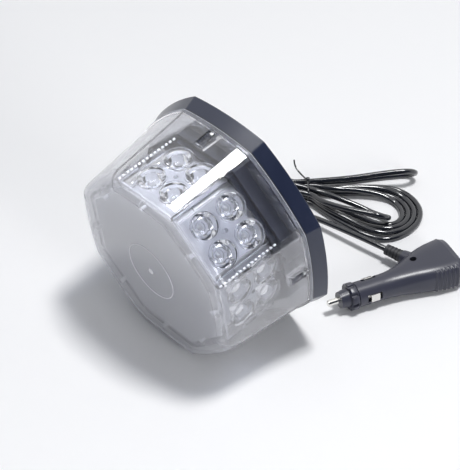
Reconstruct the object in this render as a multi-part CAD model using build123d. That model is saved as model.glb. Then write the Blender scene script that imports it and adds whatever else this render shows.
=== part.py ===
from build123d import *
from math import asin, atan2, cos, degrees, hypot, pi, radians, sin, sqrt, tan
import os

os.makedirs("parts", exist_ok=True)

# An eight-sided warning beacon with a magnetic base, lying on one side, and the cord and accessory
# plug that feed it. The beacon is drawn upright first: +Z runs from the magnet to the dome's top,
# its foot is at z = 0, and facet 1 faces +Y. It is laid on facet 5 at the end.

# ---- Driving dimensions, in mm and degrees ----
sides = 8
base_corner_radius = 97.4
side_bulge = 3.2
base_height = 12.4
base_draft = 19.7
corner_round = 4.0
foot_round = 0.6
base_wall = 2.6
base_floor = 3.0
seal_width = 1.5
seal_height = 1.4
fit_gap = 0.15
hole_spare = 0.4

dome_height = 93.3
dome_draft = 6.2
dome_wall = 2.4
shoulder_radius = 12.0
inner_corner_round = 2.0
gate_ring_radius = 24.4
gate_ring_width = 0.7
gate_ring_depth = 0.4
gate_nub_radius = 1.6

pocket_width = 7.0
pocket_wall = 1.4
pocket_depth = 6.0
pocket_floor = 5.2
pocket_height = 13.0
dome_screw_shank = 1.5
dome_screw_head = 2.6
dome_screw_head_height = 2.0
dome_screw_length = 12.0
screw_clearance = 0.1
screw_to_wall = 3.2
base_post_radius = 3.9

magnet_radius = 36.2
magnet_hole_radius = 8.0
magnet_thickness = 5.8
cup_wall = 1.6
cup_proud = 0.4
recess_gap = 0.3
pad_thickness = 1.5
bolt_radius = 2.5
bolt_head_radius = 4.6
bolt_head_height = 2.7
nut_radius = 4.6
nut_height = 4.0
bolt_tail = 1.0

chassis_inradius = 73.3
chassis_to_lens = 4.2
chassis_wall = 2.0
chassis_hole_inradius = 50.0
upstand_inradius = 69.0
upstand_height = 3.8
upstand_wall = 2.0
cord_slot_width = 9.0
cord_slot_height = 12.0

board_to_tower = 2.2
tower_wall = 2.5
lens_to_dome = 7.5
lid_thickness = 2.0

lens_face_inradius = 71.6
lens_plate_thickness = 2.0
lens_plate_width = 55.0
lens_pitch = 24.06
lens_row_spacing = 25.4
lens_row_depth = 17.3
lens_lobe_radius = 12.6
lens_rim_radius = 11.6
lens_rim_wall = 1.0
lens_rim_height = 1.2
lens_dome_radius = 7.4
lens_dome_height = 1.6
lens_groove_depth = 1.6
lens_depth = 10.0
lens_shoulder_radius = 10.4
lens_back_radius = 4.8
lens_cup_radius = 3.3
lens_cup_depth = 3.0
lens_leg_radius = 1.8
lens_flange_depth = 5.4
lens_pin_radius = 1.7
lens_pin_height = 4.7
lobe_blend = 2.5

board_thickness = 1.6
board_width = 45.0
board_lift = 1.0
lens_to_board = 0.3
led_size = 3.5
led_base_height = 0.8
led_dome_radius = 1.4

driver_board_radius = 49.0
driver_board_thickness = 1.6
driver_board_seat = 16.0
driver_post_circle = 45.5
screw_to_board = 0.3
small_post_radius = 3.0
small_screw_shank = 1.3
small_screw_head = 2.5
small_screw_head_height = 1.6
small_screw_length = 7.0
capacitor_radius = 4.0
capacitor_height = 11.0
capacitor_spacing = 12.0
chip_length = 9.9
chip_width = 6.0
chip_height = 1.8
chip_offset = 14.0
transistor_length = 6.5
transistor_width = 6.0
transistor_height = 2.3
transistor_circle = 31.0

cord_diameter = 4.8
gland_facet = 6
gland_height = 7.0
gland_neck_radius = 3.5
gland_lip_radius = 3.9
gland_lip_thickness = 1.5
gland_lip_gap = 1.0
gland_nose_radius = 5.2
gland_nose_end_radius = 3.4
gland_nose_length = 9.0
terminal_length = 9.0
terminal_width = 12.0
terminal_height = 8.5
terminal_end = 52.0

plug_tip_x = 66.4
plug_tip_y = 75.5
plug_turn = 71.5
plug_axis_height = 12.05

pin_radius = 2.7
pin_visible = 10.1
pin_collar_radius = 4.2
pin_collar_thickness = 2.0
pin_tail = 2.4
pin_travel = 3.0
nose_front_radius = 6.6
nose_neck_radius = 7.9
nose_neck_length = 7.4
nose_collar_radius = 10.4
nose_collar_length = 6.6
nose_sleeve_length = 6.0
nose_bore_radius = 5.6
nose_web = 1.0
nose_collar_chamfer = 0.5
nose_notch_stop = 1.5
nose_notches = 8
nose_notch_radius = 1.5
nose_notch_centre = 11.0
running_gap = 0.1
stop_gap = 0.1

barrel_radius = 10.3
barrel_wall = 2.15
barrel_gap = 0.3
fuse_radius = 3.15
fuse_length = 30.0
fuse_cap_length = 6.0
fuse_cap_radius = 3.3
fuse_bore_gap = 0.3
fuse_spring_packed = 3.8
fuse_spring_wire = 0.35
fuse_spring_turns = 5
fuse_seat_thickness = 1.0
seat_gap = 0.05

contact_angles = {"right": 174, "top": 55}
contact_start = 33.6
contact_length = 7.6
contact_width = 6.6
contact_proud = 0.8
contact_fuse_gap = 1.8
contact_flange_thickness = 0.8
contact_flange_margin = 3.0
contact_flange_width = 8.6
contact_travel = 0.8
bore_spare = 2.0
window_margin = 2.6
window_side_gap = 0.2

handle_wall = 2.0
handle_start = 46.0
handle_end = 110.0
cavity_start = 61.0
cap_thickness = 4.5
cap_inset = 0.3
cap_end_inset = 1.6
cap_spigot_length = 3.0
cap_spigot_gap = 0.15
cap_spigot_wall = 1.5
# Each row of the handle is the distance along the plug, then how far the handle reaches from the
# plug's axis to its left, right, top and bottom, and how square it is: 2 is round.
handle_rows = [
    (58.0, 11.3, 11.2, 10.6, 10.8, 2.1),
    (70.0, 15.0, 12.8, 11.6, 11.4, 2.4),
    (84.0, 20.6, 15.4, 12.6, 11.8, 2.9),
    (98.0, 24.4, 17.0, 13.0, 12.0, 3.3),
    (handle_end, 26.2, 17.6, 13.0, 12.0, 3.5),
]
cutter_spare = 3.0
handle_reach = max(max(row[1:5]) for row in handle_rows) + cutter_spare

branch_start_x = 88.0
branch_start_y = 10.0
branch_turn = 118.7
branch_length = 16.6
handle_side_reach = handle_reach + branch_length
branch_root_radius = 8.4
branch_end_radius = 5.9
branch_bore_radius = 3.7
branch_bore_start = 2.0
sleeve_length = 15.2
sleeve_radius = 5.3
sleeve_end_radius = 4.5
sleeve_tail = 8.0
sleeve_grooves = 4
sleeve_groove_depth = 0.7

plug_screw_x = 79.6
plug_screw_y = 7.4
plug_screw_seat = 3.0
plug_screw_length = 9.0
plug_boss_radius = 3.6
plug_counterbore_gap = 0.3

rocker_y = 12.0
rocker_body_length = 13.0
rocker_body_width = 9.6
rocker_body_depth = 10.0
rocker_flange = 1.0
rocker_flange_thickness = 1.2
rocker_pocket_length = 11.0
rocker_pocket_width = 7.8
rocker_floor = 1.5
rocker_radius = 5.3
rocker_gap = 0.2
rocker_pivot_depth = 2.3
rocker_face = 3.6
rocker_half_travel = 8.0
rocker_pin_radius = 0.9
rocker_pin_gap = 0.05
rocker_pin_grip = 0.6

button_y = -4.5
button_radius = 3.4
button_proud = 2.0
button_round = 0.8
button_collar = 1.0
button_collar_thickness = 1.2
button_travel = 1.2
switch_width = 7.0
switch_depth = 5.0
switch_height = 9.0
plug_board_thickness = 1.6
plug_board_low = -6.5
plug_board_start = 84.5
plug_board_left = 13.0
plug_board_right = -9.0
board_rib_thickness = 2.0
board_rib_offset = 6.0
board_to_cap = 0.5

hank_height = 14.0
hank_round = 2.0
hank_chamfer = 1.5
tie_wire_radius = 0.7
tie_floor_gap = 0.1
tie_half_width = 10.0
tie_height = 15.0
tie_corner = 4.0
tie_turn = 48.0
tie_x = -47.0
tie_y = 166.0
tie_knot_place = 4.0
tie_knot_radius = 1.8
tie_tail_points = [(-4.0, 8.0, 17.0), (-9.0, 14.0, 20.0), (-11.0, 20.0, 25.0)]

half_side = 180 / sides
inradius_ratio = cos(radians(half_side))
odd_facets = [number for number in range(1, sides + 1) if number % 2 == 1]

# Each long side of the beacon is an arc, and every shell outline is an inset of the foot's outline.
side_half_length = base_corner_radius * sin(radians(half_side))
side_arc_radius = (side_half_length**2 + side_bulge**2) / (2 * side_bulge)
side_reach = base_corner_radius * inradius_ratio + side_bulge
side_arc_centre = side_reach - side_arc_radius
seam_inset = base_height * tan(radians(base_draft))

# The lenses hang under the dome's top, the chassis ends below them, and the tower is behind the
# boards, whose faces the chassis screws clear.
ring_top = dome_height - lens_to_dome
lens_row_high = ring_top - lens_row_depth
lens_row_low = lens_row_high - lens_row_spacing
chassis_height = lens_row_low - lens_lobe_radius - chassis_to_lens
plate_back = lens_face_inradius - lens_plate_thickness
lens_rear = lens_face_inradius - lens_depth
board_face = lens_rear - lens_to_board
tower_inradius = board_face - board_thickness - board_to_tower
chassis_post_circle = board_face + small_screw_head + screw_to_board


# ---- Helpers ----
def facet_angle(number):
    """Direction of a facet's outward normal: facet 1 faces +Y and the rest follow clockwise."""
    return 90 - 360 / sides * (number - 1)


def polar(radius, angle, height=0.0):
    return Vector(radius * cos(radians(angle)), radius * sin(radians(angle)), height)


def base_inset(height):
    return height * tan(radians(base_draft))


def dome_inset(height):
    return seam_inset + (height - base_height) * tan(radians(dome_draft))


def outline(inset, height):
    """The beacon's outline at a height, moved inward from the foot's outline by an inset."""
    radius = side_arc_radius - inset
    offset = side_arc_centre * sin(radians(half_side))
    corner = side_arc_centre * inradius_ratio + sqrt(radius**2 - offset**2)
    arcs = []
    for number in range(sides, 0, -1):
        angle = facet_angle(number)
        start = polar(corner, angle - half_side)
        middle = polar(side_arc_centre + radius, angle)
        end = polar(corner, angle + half_side)
        arcs.append(ThreePointArc(start, middle, end))
    return Pos(0, 0, height) * make_face(arcs)


def side_edges(solid):
    """The edges that climb the beacon's corners."""
    return [edge for edge in solid.edges() if abs((edge @ 0).Z - (edge @ 1).Z) > 0.5]


def shell_block(inset, low, high, draft, round_by=0.0):
    """A block with the beacon's outline that narrows upward by the draft angle."""
    solid = extrude(outline(inset, low), high - low, taper=draft)
    return fillet(side_edges(solid), round_by) if round_by else solid


def octagon(inradius, low, high):
    shape = RegularPolygon(inradius / inradius_ratio, sides, rotation=half_side)
    return extrude(Pos(0, 0, low) * shape, high - low)


def octagon_ring(outer, inner, low, high):
    return octagon(outer, low, high) - octagon(inner, low - 1, high + 1)


def cylinder(radius, low, high, centre=Vector(0, 0, 0)):
    return Pos(centre.X, centre.Y, (low + high) / 2) * Cylinder(radius, high - low)


def block(x_low, x_high, y_low, y_high, z_low, z_high):
    centre = Pos((x_low + x_high) / 2, (y_low + y_high) / 2, (z_low + z_high) / 2)
    return centre * Box(x_high - x_low, y_high - y_low, z_high - z_low)


def facet_plane(number):
    """A plane on the axis: x runs along the facet, y runs up the beacon, z points out of it."""
    angle = facet_angle(number)
    along = Vector(-sin(radians(angle)), cos(radians(angle)), 0)
    return Plane(origin=(0, 0, 0), x_dir=along, z_dir=polar(1, angle))


def pan_screw(shank, head, head_height, length):
    """A screw that points down -Z, with the underside of its head at z = 0 and a crossed recess."""
    body = cylinder(shank, -length, 0) + cylinder(head, 0, head_height)
    body = fillet(body.edges().group_by(Axis.Z)[-1], head_height * 0.45)
    slot = Box(head * 1.1, head * 0.28, head_height)
    return body - Pos(0, 0, head_height) * (slot + Rot(0, 0, 90) * slot)


def group(pieces):
    """Several separate pieces as one group of solids."""
    solids = []
    for piece in pieces:
        solids += piece.solids()
    return Compound(solids)


# ---- Base housing, seal and dome ----
cup_radius = magnet_radius + cup_wall
recess_radius = cup_radius + recess_gap
recess_depth = magnet_thickness + cup_wall - cup_proud
ceiling_top = recess_depth + base_floor
screw_circle = side_reach - seam_inset - screw_to_wall
pocket_low = base_height + pocket_floor
gland_angle = facet_angle(gland_facet)


def entry_line(shape):
    """Turn a shape drawn along +Z onto the line where the cord enters the base."""
    return Pos(0, 0, gland_height) * (Rot(0, 0, gland_angle) * (Rot(0, 90, 0) * shape))


def make_base():
    shell = shell_block(0, 0, base_height, base_draft, corner_round)
    shell = fillet(shell.edges().group_by(Axis.Z)[0], foot_round)
    outside = shell
    hollow_inset = base_inset(base_floor) + base_wall + seal_width
    shell -= shell_block(hollow_inset, base_floor, base_height + 1, base_draft)
    shell -= shell_block(seam_inset + base_wall, base_height - seal_height, base_height + 1, 0)
    chassis_seat = chassis_height - chassis_wall
    board_top = driver_board_seat + driver_board_thickness
    added = [cylinder(recess_radius + base_wall, 0.5, ceiling_top)]
    cuts = [
        cylinder(recess_radius, -1, recess_depth),
        cylinder(bolt_radius + screw_clearance, 0, base_height),
        entry_line(cylinder(gland_neck_radius, chassis_inradius, side_reach + 1)),
    ]
    screw_hole = dome_screw_shank + screw_clearance
    small_hole = small_screw_shank + screw_clearance
    for number in odd_facets:
        angle = facet_angle(number)
        dome_place = polar(screw_circle, angle)
        chassis_place = polar(chassis_post_circle, angle)
        board_place = polar(driver_post_circle, angle)
        added.append(cylinder(base_post_radius, 1, base_height - seal_height, dome_place) & outside)
        added.append(cylinder(small_post_radius, 1, chassis_seat, chassis_place))
        added.append(cylinder(small_post_radius, 1, driver_board_seat, board_place))
        low = pocket_low - dome_screw_length - hole_spare
        cuts.append(cylinder(screw_hole, low, base_height + 1, dome_place))
        low = chassis_height - small_screw_length - hole_spare
        cuts.append(cylinder(small_hole, low, chassis_height, chassis_place))
        low = board_top - small_screw_length - hole_spare
        cuts.append(cylinder(small_hole, low, board_top, board_place))
    return shell + added - cuts


def make_seal():
    inset = seam_inset + base_wall + fit_gap
    low = base_height - seal_height
    filled = shell_block(inset, low, base_height, 0)
    ring = filled - shell_block(inset + seal_width, low - 1, base_height + 1, 0)
    for number in odd_facets:
        centre = polar(screw_circle, facet_angle(number))
        ring += cylinder(base_post_radius, low, base_height, centre) & filled
        ring -= cylinder(dome_screw_shank + screw_clearance, low - 1, base_height + 1, centre)
    return ring


def make_dome():
    outer = shell_block(seam_inset, base_height, dome_height, dome_draft, corner_round)
    outer = fillet(outer.edges().group_by(Axis.Z)[-1], shoulder_radius)
    inner_top = dome_height - dome_wall
    wall_inset = seam_inset + dome_wall
    inner = shell_block(wall_inset, base_height, inner_top, dome_draft, inner_corner_round)
    inner = fillet(inner.edges().group_by(Axis.Z)[-1], shoulder_radius - dome_wall)
    dome = outer - inner
    half_width = pocket_width / 2
    back = screw_circle - pocket_depth / 2
    pocket_top = pocket_low + pocket_height
    bosses = []
    cuts = []
    wall_half = half_width + pocket_wall
    for number in odd_facets:
        plane = facet_plane(number)
        boss = block(-wall_half, wall_half, base_height, pocket_top + pocket_wall,
                     back - pocket_wall, side_reach)
        bosses.append((plane * boss) & outer)
        cuts.append(plane * block(-half_width, half_width, pocket_low, pocket_top, back, side_reach))
        place = polar(screw_circle, facet_angle(number))
        cuts.append(cylinder(dome_screw_shank + screw_clearance, base_height - 1, pocket_low + 1, place))
    mark_low = dome_height - gate_ring_depth
    ring = cylinder(gate_ring_radius + gate_ring_width / 2, mark_low, dome_height + 1)
    ring -= cylinder(gate_ring_radius - gate_ring_width / 2, mark_low - 1, dome_height + 2)
    cuts += [ring, cylinder(gate_nub_radius, mark_low, dome_height + 1)]
    return dome + bosses - cuts


def make_dome_screws():
    screw = pan_screw(dome_screw_shank, dome_screw_head, dome_screw_head_height, dome_screw_length)
    places = [polar(screw_circle, facet_angle(number), pocket_low) for number in odd_facets]
    return group([Pos(place) * screw for place in places])


# ---- Magnet ----
def make_magnet():
    cup_bottom = -cup_proud
    cup = cylinder(cup_radius, cup_bottom, recess_depth)
    cup -= cylinder(magnet_radius, cup_bottom - 1, recess_depth - cup_wall)
    cup -= cylinder(bolt_radius + screw_clearance, 0, recess_depth + 1)
    magnet = cylinder(magnet_radius, cup_bottom, recess_depth - cup_wall)
    magnet -= cylinder(magnet_hole_radius, cup_bottom - 1, recess_depth)
    pad = cylinder(cup_radius, cup_bottom - pad_thickness, cup_bottom)
    pad = fillet(pad.edges().group_by(Axis.Z)[0], pad_thickness * 0.4)
    pad -= cylinder(magnet_hole_radius, cup_bottom - pad_thickness - 1, cup_bottom + 1)
    head_top = recess_depth - cup_wall
    bolt = cylinder(bolt_radius, head_top, ceiling_top + nut_height + bolt_tail)
    bolt += cylinder(bolt_head_radius, head_top - bolt_head_height, head_top)
    socket = Pos(0, 0, head_top - bolt_head_height) * RegularPolygon(bolt_radius * 0.6, 6)
    bolt -= extrude(socket, bolt_head_height * 0.6)
    nut = extrude(Pos(0, 0, ceiling_top) * RegularPolygon(nut_radius, 6), nut_height)
    nut -= cylinder(bolt_radius + screw_clearance / 2, ceiling_top - 1, ceiling_top + nut_height + 1)
    return {
        "magnet_cup": cup,
        "ring_magnet": magnet,
        "magnet_pad": pad,
        "magnet_bolt": bolt,
        "magnet_nut": nut,
    }


# ---- Chassis, tower and lid ----
lid_bottom = ring_top - lid_thickness


def make_chassis():
    plate_low = chassis_height - chassis_wall
    chassis = octagon_ring(chassis_inradius, chassis_inradius - chassis_wall, base_floor, chassis_height)
    chassis += octagon_ring(chassis_inradius, chassis_hole_inradius, plate_low, chassis_height)
    upstand_top = chassis_height + upstand_height
    chassis += octagon_ring(upstand_inradius, upstand_inradius - upstand_wall, plate_low, upstand_top)
    half_slot = cord_slot_width / 2
    slot = block(-half_slot, half_slot, base_floor - 1, cord_slot_height,
                 chassis_hole_inradius, chassis_inradius + chassis_wall)
    chassis -= facet_plane(gland_facet) * slot
    for number in odd_facets:
        centre = polar(chassis_post_circle, facet_angle(number))
        chassis -= cylinder(small_screw_shank + screw_clearance, plate_low - 1, chassis_height + 1, centre)
    return chassis


def make_tower():
    return octagon_ring(tower_inradius, tower_inradius - tower_wall, chassis_height, lid_bottom)


def make_lid():
    lid = octagon(lens_face_inradius - lens_flange_depth - fit_gap, lid_bottom, ring_top)
    return fillet(lid.edges().group_by(Axis.Z)[-1], lid_thickness * 0.3)


def make_small_screws():
    screw = pan_screw(small_screw_shank, small_screw_head, small_screw_head_height, small_screw_length)
    board_top = driver_board_seat + driver_board_thickness
    pieces = []
    for number in odd_facets:
        pieces.append(Pos(polar(chassis_post_circle, facet_angle(number), chassis_height)) * screw)
        pieces.append(Pos(polar(driver_post_circle, facet_angle(number), board_top)) * screw)
    return group(pieces)


# ---- Lens plates and LED boards ----
lens_places = []
for row in (lens_row_low, lens_row_high):
    for side in (-1, 1):
        lens_places.append((side * lens_pitch / 2, row))


def make_lens():
    """One collimator drawn around +Z, with its plate's front face at z = 0."""
    rim_inner = lens_rim_radius - lens_rim_wall
    groove = -lens_groove_depth
    crown = groove + lens_dome_height
    cup_floor = lens_cup_depth - lens_depth
    edges = [
        ThreePointArc((0, 0, crown), (lens_dome_radius * 0.55, 0, crown - lens_dome_height * 0.25),
                      (lens_dome_radius, 0, groove)),
        Polyline(
            (lens_dome_radius, 0, groove), (rim_inner, 0, groove), (rim_inner, 0, lens_rim_height),
            (lens_rim_radius, 0, lens_rim_height), (lens_rim_radius, 0, -lens_plate_thickness),
            (lens_shoulder_radius, 0, -lens_plate_thickness), (lens_back_radius, 0, -lens_depth),
            (lens_cup_radius, 0, -lens_depth), (lens_cup_radius, 0, cup_floor), (0, 0, cup_floor),
            (0, 0, crown),
        ),
    ]
    return revolve(make_face(edges), Axis.Z)


def make_lens_plate():
    lobes_width = lens_pitch + 2 * lens_lobe_radius
    sheet = Pos(0, (lens_row_low + ring_top) / 2) * Rectangle(lobes_width, ring_top - lens_row_low)
    sheet += Pos(0, (lens_row_high + ring_top) / 2) * Rectangle(lens_plate_width, ring_top - lens_row_high)
    for x, y in lens_places[:2]:
        sheet += Pos(x, y) * Circle(lens_lobe_radius)
    cusp = sheet.vertices().sort_by(Axis.Y)
    cusp = [vertex for vertex in cusp if abs(vertex.X) < 0.1 and vertex.Y < lens_row_low]
    sheet = fillet(cusp, lobe_blend)
    plate = extrude(Pos(0, 0, plate_back) * sheet, lens_plate_thickness)
    lens = make_lens()
    for x, y in lens_places:
        plate -= Pos(x, y, lens_face_inradius) * Cylinder(lens_rim_radius - lens_rim_wall / 2, lens_depth)
    for x, y in lens_places:
        plate += Pos(x, y, lens_face_inradius) * lens
    flange_low = lens_face_inradius - lens_flange_depth
    flange_half = flange_low * tan(radians(half_side)) - fit_gap
    plate += block(-flange_half, flange_half, lid_bottom, ring_top, flange_low, lens_face_inradius)
    pin_centre = flange_low + lens_flange_depth / 2
    pin = Rot(90, 0, 0) * Cylinder(lens_pin_radius, lens_pin_height)
    plate += Pos(0, ring_top + lens_pin_height / 2, pin_centre) * pin
    leg_length = plate_back - board_face
    middle_row = (lens_row_low + lens_row_high) / 2
    plate += Pos(0, middle_row, board_face + leg_length / 2) * Cylinder(lens_leg_radius, leg_length)
    return plate


def make_led_board():
    half_width = board_width / 2
    low = chassis_height + board_lift
    back = board_face - board_thickness
    return block(-half_width, half_width, low, lid_bottom - board_lift, back, board_face)


def make_leds():
    half = led_size / 2
    led = block(-half, half, -half, half, 0, led_base_height)
    led += Pos(0, 0, led_base_height) * Sphere(led_dome_radius) & block(-half, half, -half, half, 0, led_size)
    pieces = []
    for number in range(1, sides + 1):
        for x, y in lens_places:
            pieces.append(facet_plane(number) * (Pos(x, y, board_face) * led))
    return group(pieces)


# ---- Driver electronics and the cord's entry ----
def make_driver():
    board_top = driver_board_seat + driver_board_thickness
    board = cylinder(driver_board_radius, driver_board_seat, board_top)
    transistors = []
    for number in odd_facets:
        angle = facet_angle(number)
        board -= cylinder(small_screw_shank + screw_clearance, driver_board_seat - 1, board_top + 1,
                          polar(driver_post_circle, angle))
        body = Pos(0, 0, transistor_height / 2) * Box(transistor_width, transistor_length, transistor_height)
        transistors.append(Pos(polar(transistor_circle, angle, board_top)) * (Rot(0, 0, angle) * body))
    capacitors = []
    for side in (-1, 1):
        centre = Vector(side * capacitor_spacing / 2, 0, 0)
        can = cylinder(capacitor_radius, board_top, board_top + capacitor_height, centre)
        capacitors.append(fillet(can.edges().group_by(Axis.Z)[-1], capacitor_radius * 0.15))
    chip = Pos(0, -chip_offset, board_top + chip_height / 2) * Box(chip_length, chip_width, chip_height)
    return {
        "driver_board": board,
        "power_transistors": group(transistors),
        "driver_capacitors": group(capacitors),
        "flash_controller": chip,
    }


gland_end = side_reach + gland_nose_length


def make_gland():
    wall_and_seal = base_wall + seal_width + gland_lip_gap
    inner_wall = side_reach - base_inset(gland_height + gland_lip_radius) - wall_and_seal
    lip = cylinder(gland_lip_radius, inner_wall - gland_lip_thickness, inner_wall)
    neck = cylinder(gland_neck_radius, inner_wall - gland_lip_thickness, side_reach)
    nose = Cone(gland_nose_radius, gland_nose_end_radius, gland_nose_length)
    nose = Pos(0, 0, side_reach + gland_nose_length / 2) * nose
    gland = entry_line(lip + neck + nose)
    return gland - entry_line(cylinder(cord_diameter / 2, terminal_end - 1, gland_end + 1))


def make_terminal():
    half_width = terminal_width / 2
    body = block(-half_width, half_width, base_floor, base_floor + terminal_height,
                 terminal_end - terminal_length, terminal_end)
    return facet_plane(gland_facet) * body


def make_inner_lead():
    return entry_line(cylinder(cord_diameter / 2, terminal_end, gland_end))


beacon = {
    "base_housing": make_base(),
    "seal_ring": make_seal(),
    "dome_cover": make_dome(),
    "dome_screws": make_dome_screws(),
    "chassis": make_chassis(),
    "small_screws": make_small_screws(),
    "led_tower": make_tower(),
    "tower_lid": make_lid(),
    "leds": make_leds(),
    "cord_gland": make_gland(),
    "terminal_block": make_terminal(),
    "inner_lead": make_inner_lead(),
}
beacon.update(make_magnet())
beacon.update(make_driver())
lens_plate = make_lens_plate()
led_board = make_led_board()
for number in range(1, sides + 1):
    beacon[f"lens_plate_{number}"] = facet_plane(number) * lens_plate
    beacon[f"led_board_{number}"] = facet_plane(number) * led_board

# ---- Laying the beacon on facet 5 ----
# It touches the floor at the rounded foot and at the dome's rounded shoulder.
foot_centre = (foot_round, side_reach - base_inset(foot_round) - foot_round / cos(radians(base_draft)))
shoulder_height = dome_height - shoulder_radius
shoulder_reach = side_reach - dome_inset(shoulder_height) - shoulder_radius / cos(radians(dome_draft))
rise = foot_centre[1] - shoulder_reach
run = shoulder_height - foot_centre[0]
tilt = degrees(atan2(rise, run) - asin((shoulder_radius - foot_round) / hypot(rise, run)))
axis_height = sin(radians(tilt)) * foot_centre[0] + cos(radians(tilt)) * foot_centre[1] + foot_round
laid_flat = Rot(90 + tilt, 0, 0)
outer_pieces = Compound(children=[laid_flat * beacon[name] for name in ("base_housing", "dome_cover")])
extent = outer_pieces.bounding_box()
axis_offset = -(extent.min.Y + extent.max.Y) / 2
lay = Pos(0, axis_offset, axis_height) * laid_flat


# ---- Accessory plug, drawn along +X from its tip, with +Y to its left and +Z up ----
pin_collar_start = pin_visible + nose_neck_length + nose_web + stop_gap
pin_end = pin_collar_start + pin_collar_thickness + pin_tail
nose_collar_start = pin_visible + nose_neck_length
nose_collar_end = nose_collar_start + nose_collar_length
barrel_start = nose_collar_end + barrel_gap
barrel_bore = barrel_radius - barrel_wall
contact_root = fuse_cap_radius + contact_fuse_gap + contact_travel
fuse_end = pin_end + fuse_length
fuse_spring_length = fuse_spring_packed + pin_travel
fuse_seat = fuse_end + fuse_spring_length
bore_end = contact_start + contact_length + contact_flange_margin + bore_spare


def along_x(shape):
    """Turn a shape drawn along +Z so that it runs along +X."""
    return Rot(0, 90, 0) * shape


def rod(radius, start, end):
    return along_x(cylinder(radius, start, end))


def cross_plane(distance):
    return Plane(origin=(distance, 0, 0), x_dir=(0, 1, 0), z_dir=(1, 0, 0))


def handle_outline(row, inset=0.0, distance=None):
    """The handle's closed outline at one row, moved inward by an inset."""
    place, left, right, top, bottom, squareness = row
    points = []
    steps = 12
    for step in range(steps):
        angle = 2 * pi * step / steps
        across, rise = cos(angle), sin(angle)
        reach_y = (left if across >= 0 else right) - inset
        reach_z = (top if rise >= 0 else bottom) - inset
        power = 2 / squareness
        y = reach_y * abs(across) ** power * (1 if across >= 0 else -1)
        z = reach_z * abs(rise) ** power * (1 if rise >= 0 else -1)
        points.append((y, z))
    curve = make_face(Spline(points, periodic=True))
    return cross_plane(place if distance is None else distance) * curve


def make_nose_cap():
    thread_end = nose_collar_end + nose_sleeve_length
    neck = Cone(nose_front_radius, nose_neck_radius, nose_neck_length)
    shape = along_x(Pos(0, 0, pin_visible + nose_neck_length / 2) * neck)
    collar = rod(nose_collar_radius, nose_collar_start, nose_collar_end)
    collar = chamfer(collar.edges().filter_by(GeomType.CIRCLE), nose_collar_chamfer)
    for notch in range(nose_notches):
        angle = 360 / nose_notches * notch
        cutter = rod(nose_notch_radius, nose_collar_start - 1, nose_collar_end - nose_notch_stop)
        collar -= Rot(angle, 0, 0) * (Pos(0, 0, nose_notch_centre) * cutter)
    shape += collar + rod(barrel_bore - running_gap, nose_collar_end - 1, thread_end)
    shape -= rod(pin_radius + running_gap, 0, thread_end)
    return shape - rod(nose_bore_radius, pin_collar_start - stop_gap, thread_end + 1)


def make_tip_pin():
    pin = rod(pin_radius, 0, pin_end)
    pin = fillet(pin.edges().group_by(Axis.X)[0], pin_radius * 0.3)
    return pin + rod(pin_collar_radius, pin_collar_start, pin_collar_start + pin_collar_thickness)


def make_fuse():
    glass = rod(fuse_radius, pin_end, fuse_end)
    first = rod(fuse_cap_radius, pin_end, pin_end + fuse_cap_length)
    last = rod(fuse_cap_radius, fuse_end - fuse_cap_length, fuse_end)
    return glass + first + last


def make_fuse_spring():
    height = fuse_spring_length - 2 * fuse_spring_wire
    coil = Helix(height / fuse_spring_turns, height, fuse_radius - fuse_spring_wire)
    section = Plane(origin=coil @ 0, z_dir=coil % 0) * Circle(fuse_spring_wire)
    wire = sweep(section, coil, is_frenet=True)
    return along_x(Pos(0, 0, fuse_end + fuse_spring_wire) * wire)


def contact_window(clearance, margin):
    half_width = contact_width / 2 + clearance
    end = contact_start + contact_length
    return block(contact_start - margin, end + margin, -half_width, half_width, 0, barrel_radius + 2)


def make_side_contact(angle):
    end = contact_start + contact_length
    half_width = contact_width / 2
    half_flange = contact_flange_width / 2
    head = block(contact_start, end, -half_width, half_width, contact_root, barrel_radius + contact_proud + 1)
    head &= rod(barrel_radius + contact_proud, 0, handle_start)
    flange_top = contact_root + contact_flange_thickness
    flange = block(contact_start - contact_flange_margin, end + contact_flange_margin,
                   -half_flange, half_flange, contact_root, flange_top)
    return Rot(angle - 90, 0, 0) * (head + flange)


def branch_line(shape):
    """Turn a shape drawn along +Z onto the line of the cord's branch."""
    return Pos(branch_start_x, branch_start_y, 0) * (Rot(0, 0, branch_turn) * along_x(shape))


def make_handle():
    """The handle and barrel as one hollow body, and the handle's inner cavity."""
    round_start = cross_plane(handle_start) * Circle(barrel_radius)
    body = loft([round_start] + [handle_outline(row) for row in handle_rows])
    branch = Pos(0, 0, branch_length / 2) * Cone(branch_root_radius, branch_end_radius, branch_length)
    body += [rod(barrel_radius, barrel_start, handle_start), branch_line(branch)]
    cavity_rows = [row for row in handle_rows if row[0] > cavity_start]
    first = handle_outline(handle_rows[0], handle_wall, cavity_start)
    cavity = loft([first] + [handle_outline(row, handle_wall) for row in cavity_rows])
    screw_place = Vector(plug_screw_x, plug_screw_y, 0)
    boss = cylinder(plug_boss_radius, -handle_reach, handle_reach, screw_place)
    seat = cylinder(small_screw_head + plug_counterbore_gap, plug_screw_seat, handle_reach)
    hole_low = plug_screw_seat - plug_screw_length - hole_spare
    hole = cylinder(small_screw_shank + screw_clearance, hole_low, handle_reach)
    cuts = [
        cavity - boss,
        rod(barrel_bore, barrel_start - 1, bore_end),
        rod(fuse_cap_radius + fuse_bore_gap, bore_end - 1, fuse_seat + fuse_seat_thickness),
        branch_line(cylinder(branch_bore_radius, branch_bore_start, branch_length + 1)),
        Pos(screw_place) * (seat + hole),
    ]
    for angle in contact_angles.values():
        cuts.append(Rot(angle - 90, 0, 0) * contact_window(window_side_gap, window_margin))
    return body - cuts, cavity


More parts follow.
